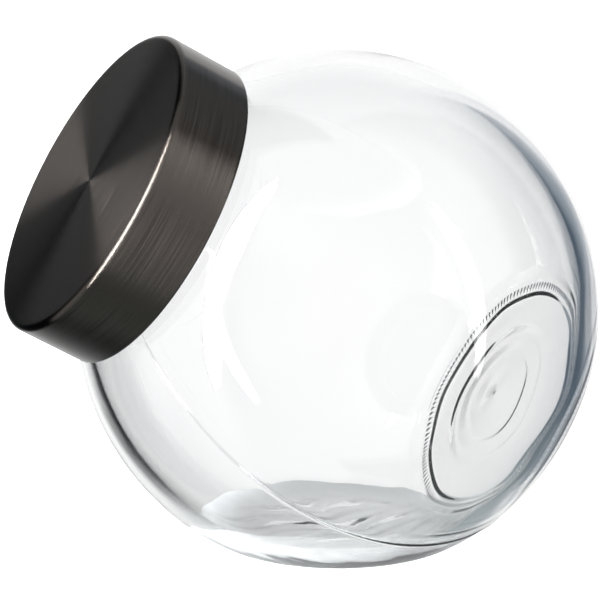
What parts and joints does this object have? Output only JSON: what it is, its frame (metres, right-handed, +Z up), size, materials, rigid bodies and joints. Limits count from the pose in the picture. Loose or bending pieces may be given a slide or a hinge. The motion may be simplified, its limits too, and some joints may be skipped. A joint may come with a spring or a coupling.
{
  "type": "tilted globe coin jar with screw lid",
  "caption": "Moulded glass globe jar that rests tilted on a flat foot, its wide threaded mouth closed by a dark brushed metal screw lid with a threaded insert and a sealing ring.",
  "frame": {"origin": "centre of the tilt foot, the flat on the globe that the jar rests on; the globe's centre is straight above it", "axes": "+Z up from the resting surface; the neck and lid point to -X and 30 degrees up, in the XZ plane; Y across the jar, which is the same on both sides but for its thread"},
  "size_m": [0.1726, 0.152, 0.1511],
  "materials": {
    "clear_glass": "clear moulded soda-lime glass",
    "lid_metal": "black-nickel brushed: spun face, brushed round the skirt",
    "insert_plastic": "moulded polypropylene",
    "gasket_rubber": "soft sealing ring"
  },
  "bodies": {
    "jar": {"glass_jar": "clear_glass"},
    "seal": {"lid_gasket": "gasket_rubber"},
    "lid": {"lid_shell": "lid_metal", "lid_insert": "insert_plastic"}
  },
  "joints": [
    {"name": "lid_lift", "type": "slide", "parent": "jar", "child": "seal", "axis": [-0.866, 0, 0.5], "range_m": [0, 0.028]},
    {"name": "lid_turn", "type": "hinge", "parent": "seal", "child": "lid", "pos_m": [0, 0, 0.06893], "axis": [-0.866, 0, 0.5], "range_deg": [0, 1980]}
  ],
  "couplings": [
    {"joint": "lid_lift", "follows": "lid_turn", "m_per_rad": 0.00080851}
  ]
}
